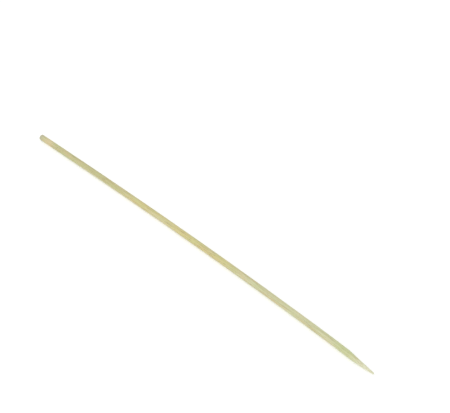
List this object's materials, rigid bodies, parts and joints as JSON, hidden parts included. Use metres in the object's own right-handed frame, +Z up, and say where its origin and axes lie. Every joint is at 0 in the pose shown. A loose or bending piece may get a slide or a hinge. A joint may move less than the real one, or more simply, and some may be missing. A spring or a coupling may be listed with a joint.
{
  "type": "bamboo skewer",
  "caption": "Long round bamboo skewer with a square-cut butt, a slight natural bow and a ground point, for threading food on.",
  "frame": {"origin": "middle of the square-cut butt face", "axes": "+X along the stick from the butt to the point, +Z up as it lies, with the natural bow flat towards +Y"},
  "size_m": [0.3, 0.0069, 0.004],
  "materials": {
    "bamboo": "bare split bamboo, tumbled smooth, satin, pale greenish straw with fine lengthwise fibres"
  },
  "bodies": {
    "root": {"skewer": "bamboo"}
  },
  "joints": []
}
